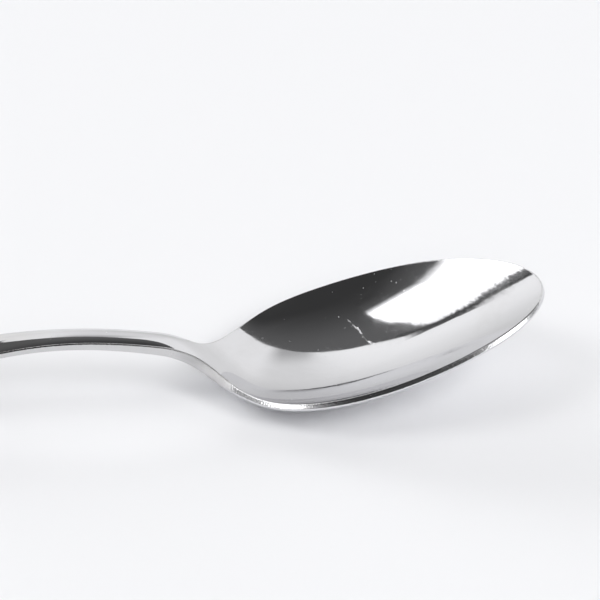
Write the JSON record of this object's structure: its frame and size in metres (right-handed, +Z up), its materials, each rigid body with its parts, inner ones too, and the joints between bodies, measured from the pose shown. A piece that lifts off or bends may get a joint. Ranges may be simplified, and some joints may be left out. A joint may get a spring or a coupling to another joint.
{
  "type": "tablespoon",
  "caption": "Mirror-polished steel tablespoon: shallow egg-shaped bowl with a raised tip, narrow neck and an arched, crowned handle with a round end; for eating and serving.",
  "frame": {"origin": "on the table, under the middle of the spoon's length and width, as the spoon lies on its heel and its handle end", "axes": "+X along the spoon towards the bowl's tip, +Y to the left seen from the handle's end, +Z up out of the bowl"},
  "size_m": [0.2, 0.0458, 0.0192],
  "materials": {
    "polished_steel": "polished"
  },
  "bodies": {
    "root": {"bowl": "polished_steel", "neck": "polished_steel", "handle": "polished_steel"}
  },
  "joints": []
}
